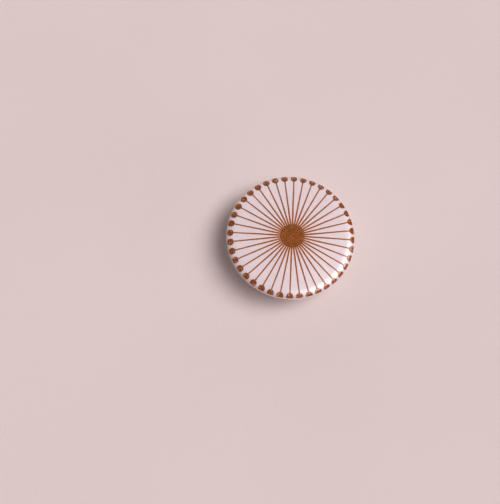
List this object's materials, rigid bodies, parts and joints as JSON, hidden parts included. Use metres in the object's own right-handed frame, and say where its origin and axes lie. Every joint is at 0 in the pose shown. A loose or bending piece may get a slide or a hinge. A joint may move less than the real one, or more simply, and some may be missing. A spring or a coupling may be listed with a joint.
{
  "type": "porcelain brooch",
  "caption": "Round glazed porcelain brooch with a gold sunburst of rays and dots on its face and a pin with an open hook on its back.",
  "frame": {"origin": "centre of the disc in plan, at the height of the surface that the brooch's pin rests on", "axes": "+Z along the disc's axis, out of the decorated face; +X along the pin's stem from the knuckle to the hook, and along one ray"},
  "size_m": [0.03, 0.03, 0.0091],
  "materials": {
    "porcelain": "glossy clear glaze over white porcelain",
    "gold_lustre": "fired bronze-gold lustre, satin",
    "pin_metal": "plated steel, satin"
  },
  "bodies": {
    "root": {"porcelain_disc": "porcelain", "gilt_centre": "gold_lustre", "gilt_rays": "gold_lustre", "gilt_dots": "gold_lustre", "pin_back": "pin_metal"}
  },
  "joints": []
}
